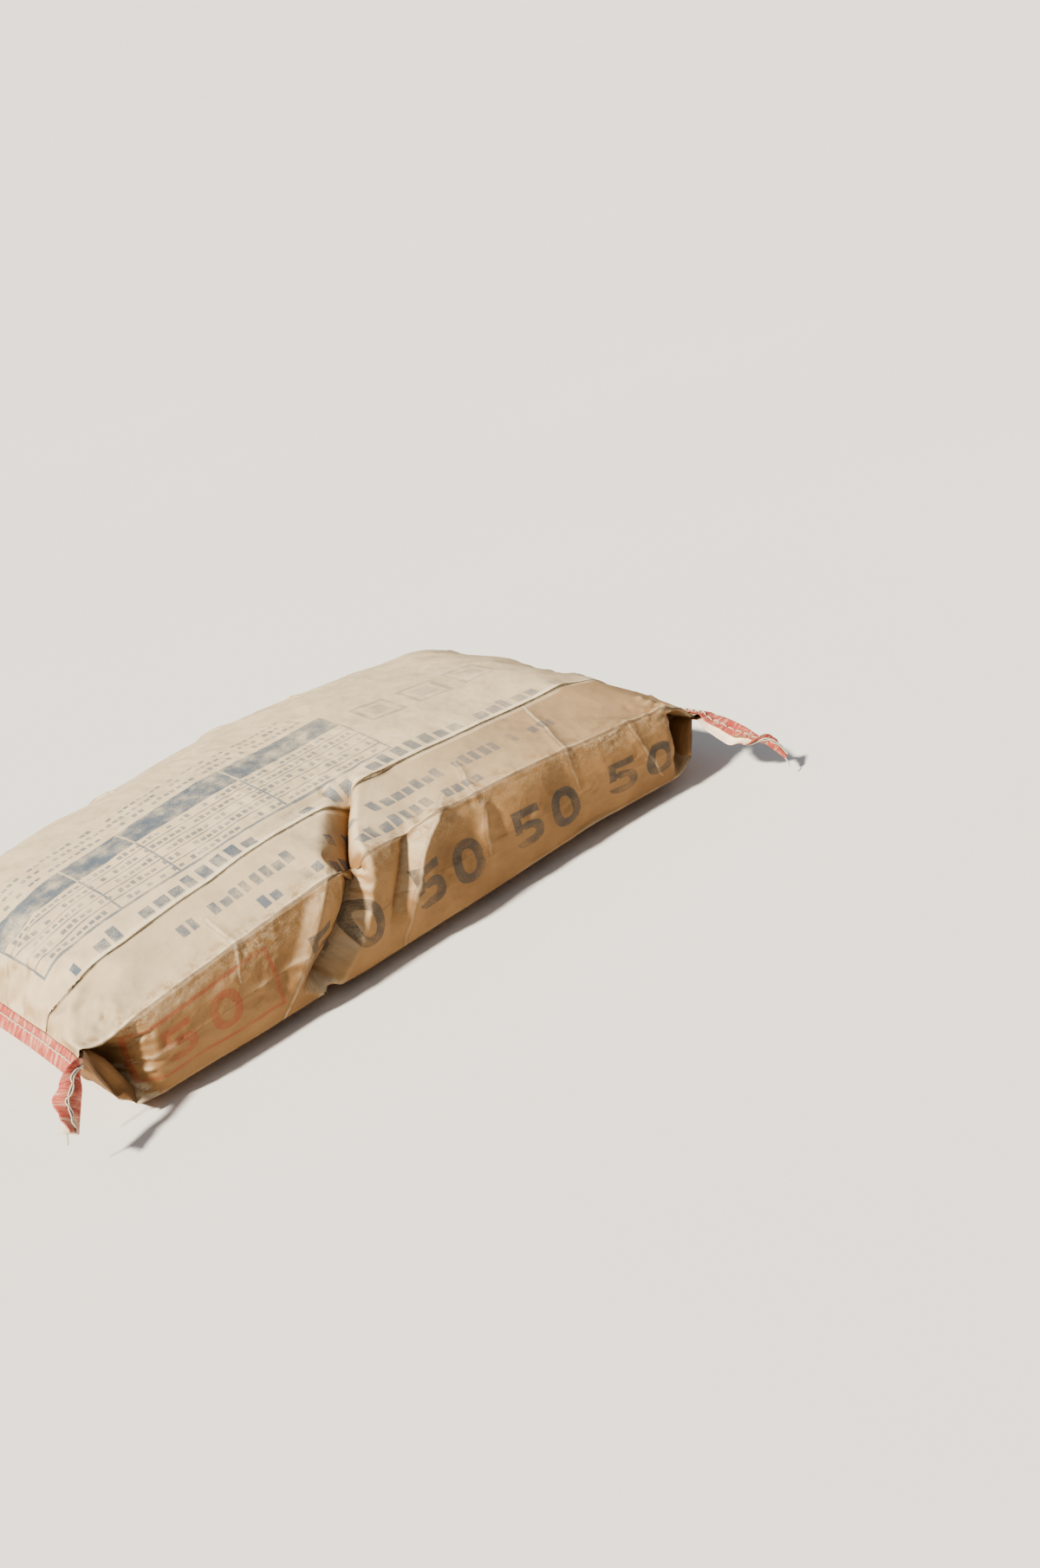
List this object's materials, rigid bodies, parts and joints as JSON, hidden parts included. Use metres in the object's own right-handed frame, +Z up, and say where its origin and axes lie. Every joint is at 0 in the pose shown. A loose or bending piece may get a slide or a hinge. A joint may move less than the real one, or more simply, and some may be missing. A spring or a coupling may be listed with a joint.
{
  "type": "cement bag",
  "caption": "Filled paper cement sack lying flat, with side gussets, both ends sewn shut through folded tape, and the tape tails hanging past the near corners.",
  "frame": {"origin": "middle of the flat underside, where the sack rests on the floor", "axes": "+Z up out of the top panel, +X along the sack from the left sewn end to the right sewn end, -Y towards the near side with the tape tails"},
  "size_m": [0.7628, 0.5132, 0.1493],
  "materials": {
    "sack_paper": "matt brown kraft paper, dusted with pale cement, with soft creases and faded blue and red print",
    "closing_tape": "matt pinkish red crepe paper, finely wrinkled and faded",
    "stitching_thread": "matt off-white twisted thread"
  },
  "bodies": {
    "root": {"filled_sack": "sack_paper", "closing_tape_left": "closing_tape", "closing_tape_right": "closing_tape", "stitching_thread_left": "stitching_thread", "stitching_thread_right": "stitching_thread"}
  },
  "joints": []
}
